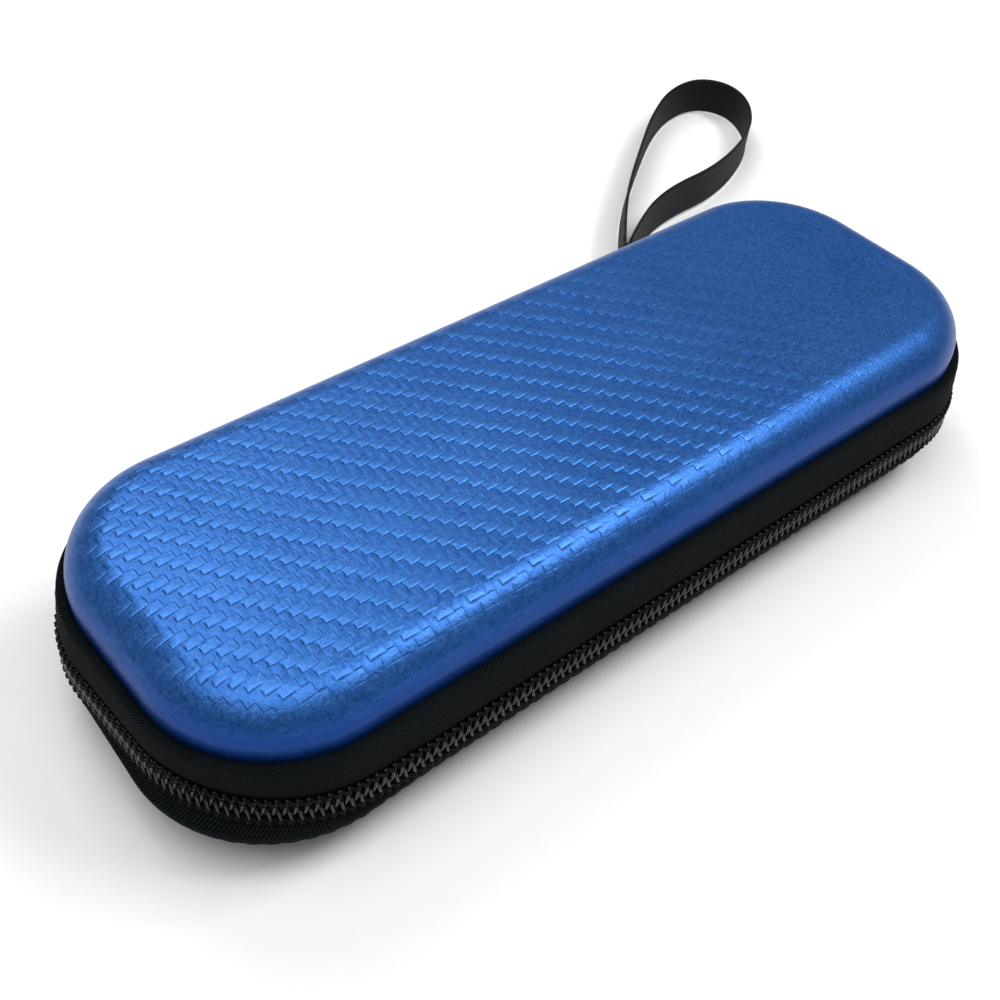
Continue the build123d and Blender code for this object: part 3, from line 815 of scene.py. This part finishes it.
TAPE_SECTION = {                            # (inset, height) in mm, from the coil outwards
    LID: [(2.05, 0.45), (1.65, 0.45), (1.65, 2.7), (1.0, 2.95), (0.98, 3.5), (0.62, 4.3),
          (0.72, 6.5), (0.95, 8.8), (1.25, 11.2), (1.45, 12.05), (1.95, 12.3), (3.15, 12.0),
          (3.3, 11.0), (2.4, 9.5), (2.1, 5.0)],
    BASE: [(2.05, 0.45), (1.65, 0.45), (1.65, 2.7), (1.0, 2.95), (0.95, 3.5), (0.75, 4.3),
           (1.1, 5.6), (1.9, 7.2), (2.95, 8.8), (4.3, 10.4), (5.7, 11.7), (6.6, 12.3),
           (6.9, 12.1), (5.4, 10.5), (4.0, 8.6), (2.9, 5.5)],
}


def make_tape(side):
    """The zip's tape, with a plain tail that closes the case between the coil and the hinge."""
    half = HALF_NAMES[side]
    with_coil = np.array(TAPE_SECTION[side]) * MM
    tail = with_coil.copy()
    tail[:4] = np.array([(2.05, 0.35), (0.62, 0.35), (0.58, 1.6), (0.55, 2.8)]) * MM
    s = steps(0, S_HINGE, 0.9 * MM)
    share = smooth_step(s, S_COIL - 0.6 * MM, S_COIL + 0.4 * MM)[:, None, None]
    ragged = 0.04 * MM * np.sin(s / 0.0047) + 0.03 * MM * np.sin(s / 0.0019)
    sections = []
    for weight, wobble in zip(share, ragged):
        section = rounded(tail * (1 - weight) + with_coil * weight, 2)
        section[:, 0] += wobble * smooth_step(section[:, 1], 9 * MM, 12 * MM)
        sections.append(section)
    sheet = Sheet()
    sweep(sheet, s, sections[-1], side, sections=np.array(sections), layout=zip_place)
    finish_piece(sheet.make(f"{half}_woven_tape", TAPE), half, "zip_tape", f"{half}_zip_tape")


def local_tube(sheet, path, radius, sides, side):
    """A tube drawn in the case's own coordinates (s, inset, height)."""
    rings = tube_rings(path, radius, sides)
    run = np.concatenate([[0], np.cumsum(np.linalg.norm(np.diff(path, axis=0), axis=1))])
    around = np.arange(sides) * 2 * math.pi * np.mean(radius) / sides
    uv = np.stack(np.broadcast_arrays(run[:, None], around[None]), -1)
    sheet.grid(zip_place(rings[..., 0], rings[..., 1], rings[..., 2], side), uv,
               wrap_cols=True, ends=True)


WIRE_R = 0.36 * MM
COIL_TOP, COIL_HEAD = 2.85 * MM, -0.5 * MM  # a turn's bend in the tape and its head
COIL_END = 2.8 * MM                         # room for the end stop at each end
TURN_POINTS = 18


def make_coil(side):
    """One half of the coil: a flattened helix whose heads cross the parting plane."""
    half = HALF_NAMES[side]
    offset = 0 if side == LID else PITCH / 2
    turns = int((S_HINGE - S_COIL - 2 * COIL_END) / PITCH)
    start = S_COIL + COIL_END + offset
    tau = np.arange(turns * TURN_POINTS + 1) * 2 * math.pi / TURN_POINTS
    flat = np.sign(np.sin(tau)) * np.abs(np.sin(tau)) ** 0.6
    height = (COIL_TOP + COIL_HEAD) / 2 + (COIL_TOP - COIL_HEAD) / 2 * np.cos(tau)
    inset = 0.80 * MM - 0.44 * MM * flat
    path = np.stack([start + PITCH * tau / (2 * math.pi), inset, height], -1)
    radius = WIRE_R * (1 + 0.2 * smooth_step(-height, 0, 0.4 * MM))
    sheet = Sheet()
    local_tube(sheet, path, radius, 8, side)
    finish_piece(sheet.make(f"{half}_coil_turns", NYLON), half, "zip_coil", f"{half}_zip_coil")


def make_coil_stitching(side):
    """Two threads that hold the coil on its tape, over each turn and down between turns."""
    half = HALF_NAMES[side]
    offset = 0 if side == LID else PITCH / 2
    s = np.arange(S_COIL + COIL_END, S_HINGE - COIL_END, PITCH / 8)
    phase = 2 * math.pi * (s - offset - S_COIL - COIL_END - 0.25 * PITCH) / PITCH
    sheet = Sheet()
    for height, lean in ((2.15 * MM, 0.10 * MM), (2.75 * MM, -0.10 * MM)):
        path = np.stack([s, 0.30 * MM - 0.30 * MM * np.cos(phase), height
                         + lean * np.sin(phase)], -1)
        local_tube(sheet, path, 0.19 * MM, 6, side)
    finish_piece(sheet.make(f"{half}_coil_stitching", THREAD), half, "sewing_thread")


SEAM = {LID: (1.32, 10.6), BASE: (1.62, 6.6)}


def make_seam(side):
    """The row of lockstitches that sews the tape on."""
    half = HALF_NAMES[side]
    inset, height = (v * MM for v in SEAM[side])
    length, gap = 2.7 * MM, 0.5 * MM
    t = np.linspace(0, 1, 9)
    dive = 0.45 * MM * (np.abs(2 * t - 1) ** 6)
    sheet = Sheet()
    for s in np.arange(S_COIL, S_HINGE - length, length + gap):
        path = np.stack([s + t * length, inset + 0.02 * MM + dive,
                         height + 0.12 * MM * (t - 0.5)], -1)
        local_tube(sheet, path, 0.2 * MM, 6, side)
    finish_piece(sheet.make(f"{half}_tape_seam", THREAD), half, "sewing_thread",
                 f"{half}_sewing_thread")


# ---- Hinge ---------------------------------------------------------------------------
def make_hinges():
    """One strip outside and one inside, each in one piece across the hinge."""
    outside = rounded(np.array([
        (0.5, 0), (0.55, 3), (0.9, 7.5), (1.45, 12.0), (1.95, 12.3), (3.15, 12.0), (3.2, 10.5),
        (1.75, 5.0), (1.4, 2.8), (1.4, 0), (1.4, -2.8), (1.75, -4.6), (3.15, -7.0), (3.5, -8.6),
        (3.1, -8.85), (1.5, -6.0), (0.7, -3.2)]) * MM, 2)
    s = steps(S_HINGE, ROUND, 1.2 * MM)
    sheet = Sheet()
    sweep(sheet, s, outside, LID)
    strip = sheet.make("outer_hinge_cloth", HINGE)
    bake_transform(strip)
    finish_piece(strip, None, "hinge_fabric", "lid_outer_hinge", "base_outer_hinge")
    low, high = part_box("lid_inner_hinge")
    lip = HALF_W - high.y
    reach_up, reach_down = high.z - ZIP_Z, ZIP_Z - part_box("base_inner_hinge")[0].z
    heights = steps(reach_up, -reach_down, 0.5 * MM)
    belly = 0.25 * MM * (1 - smooth_step(np.abs(heights), 0, 2.5 * MM))
    front = np.stack([lip + 0.6 * MM + belly, heights], -1)
    back = np.stack([lip + 0.05 * MM + belly, heights], -1)[::-1]
    middle = ROUND - CX
    s = steps(middle + low.x, middle + high.x, 1.2 * MM)
    sheet = Sheet()
    sweep(sheet, s, np.concatenate([front, back]), LID)
    strip = sheet.make("inner_hinge_cloth", BINDING)
    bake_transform(strip)
    finish_piece(strip, None, "edge_binding", "lid_inner_hinge", "base_inner_hinge")


# ---- Inside --------------------------------------------------------------------------
NET_HOLE = 1.25 * MM                        # side of the net's six-sided holes
NET_CORD = 0.52 * MM


def inside_plan(x, y, margin):
    """True where a point is inside the cavity's rounded outline."""
    dx, dy = np.maximum(np.abs(x) - CX, 0), np.maximum(np.abs(y) - CY, 0)
    return np.hypot(dx, dy) <= CORNER_R - CAVITY - margin


def make_net():
    """A knitted net stretched over the lid's pocket, as cords round six-sided holes."""
    low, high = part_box("lid_pocket_net")
    z = (low.z + high.z) / 2
    a = NET_HOLE
    bm = bmesh.new()
    seen = {}

    def vertex(x, y):
        key = (round(x / a * 20), round(y / a * 20))
        if key not in seen:
            sag = 0.5 * MM * math.cos(math.pi * y / (high.y - low.y))
            seen[key] = bm.verts.new((x, y, z - sag))
        return seen[key]

    row = 0
    y = low.y
    while y < high.y:
        x = low.x + (row % 2) * 1.5 * a
        while x < high.x:
            ring = [(x + a * math.cos(k * math.pi / 3), y + a * math.sin(k * math.pi / 3))
                    for k in range(6)]
            if all(inside_plan(px, py, 0.2 * MM) and px < high.x for px, py in ring):
                bm.faces.new([vertex(px, py) for px, py in ring])
            x += 3 * a
        y += a * math.sqrt(3) / 2
        row += 1
    mesh = bpy.data.meshes.new("lid_net_mesh")
    bm.to_mesh(mesh)
    bm.free()
    net = bpy.data.objects.new("lid_net", mesh)
    bpy.context.scene.collection.objects.link(net)
    wires = net.modifiers.new("cords", "WIREFRAME")
    wires.thickness, wires.use_replace, wires.use_even_offset = NET_CORD, True, False
    solid = bpy.data.meshes.new_from_object(
        net.evaluated_get(bpy.context.evaluated_depsgraph_get()))
    net.modifiers.clear()
    net.data = solid
    solid.materials.clear()
    solid.materials.append(NET)
    solid.polygons.foreach_set("use_smooth", [True] * len(solid.polygons))
    finish_piece(net, "lid", "pocket_net", "lid_pocket_net")


def flat_band(sheet, low, high, hump):
    """An elastic band with rounded edges, lying along y with a slight hump."""
    across = np.linspace(-1, 1, 21)
    edge = np.sqrt(np.clip(1 - smooth_step(np.abs(across), 0.9, 1.02) ** 2, 0, 1))
    loop = [(w, e) for w, e in zip(across, edge)] + [(w, -e) for w, e in
                                                     zip(across[::-1], edge[::-1])]
    z, thick = (low.z + high.z) / 2, high.z - low.z
    middle, half = (low.x + high.x) / 2, (high.x - low.x) / 2
    points, uv = [], []
    for k in np.linspace(0, 1, 60):
        y, lift = low.y + (high.y - low.y) * k, hump * math.sin(math.pi * k) ** 2
        # Narrower where it is pulled.
        narrow = half * (1 - 0.06 * math.sin(math.pi * k))
        points.append([(middle + w * narrow, y, z + lift + e * thick / 2) for w, e in loop])
        uv.append([(y, w * half) for w, e in loop])
    sheet.grid(np.array(points), np.array(uv), wrap_cols=True, ends=True)


def make_bands():
    low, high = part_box("lid_pocket_elastic")
    sheet = Sheet()
    flat_band(sheet, low, high, -0.4 * MM)
    finish_piece(sheet.make("lid_pocket_band", ELASTIC), "lid", "elastic", "lid_pocket_elastic")
    low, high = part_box("holding_band")
    sheet = Sheet()
    flat_band(sheet, low, high, 1.6 * MM)
    band = sheet.make("holding_elastic", ELASTIC)
    finish_piece(band, "base", "elastic", "holding_band")
    tacks = Sheet()
    low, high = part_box("holding_band_tacks")
    run = 4 * MM
    for y0, y1 in ((low.y, low.y + run), (high.y - run, high.y)):
        frame_way = [(low.x, y0), (high.x, y0), (high.x, y1), (low.x, y1), (low.x, y0),
                     (high.x, y1), (high.x, y0), (low.x, y1)]
        for (xa, ya), (xb, yb) in zip(frame_way, frame_way[1:]):
            span = math.hypot(xb - xa, yb - ya)
            count = max(2, round(span / (1.9 * MM)))
            for k in range(count):
                t = (k + np.linspace(0.06, 0.94, 7)) / count
                arch = 0.28 * MM * (1 - np.abs(np.linspace(-1, 1, 7)) ** 4) - 0.05 * MM
                path = np.stack([xa + (xb - xa) * t, ya + (yb - ya) * t, low.z + arch], -1)
                tacks.grid(tube_rings(path, 0.17 * MM, 6), wrap_cols=True, ends=True)
    finish_piece(tacks.make("holding_tack_stitches", THREAD), "base", "sewing_thread",
                 "holding_band_tacks")


# ---- Metal parts that keep their CAD shapes ------------------------------------------
def dress_metal():
    for name in ("zip_slider", "zip_pull", "lid_zip_end_stops", "base_zip_end_stops"):
        node = frame["nodes"][name]
        node.data.materials.clear()
        node.data.materials.append(METAL)
        node["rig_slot"] = "zip_metal"
        bevel = node.modifiers.new("soft_edges", "BEVEL")
        bevel.width, bevel.segments, bevel.limit_method = 0.12 * MM, 2, "ANGLE"


# ---- Assembly ------------------------------------------------------------------------
make_camera()
make_stage()
make_strap()
make_stub()
for half_side in (LID, BASE):
    make_shell(half_side)
    make_binding(half_side)
    make_tape(half_side)
    make_coil(half_side)
    make_coil_stitching(half_side)
    make_seam(half_side)
make_hinges()
make_net()
make_bands()
dress_metal()
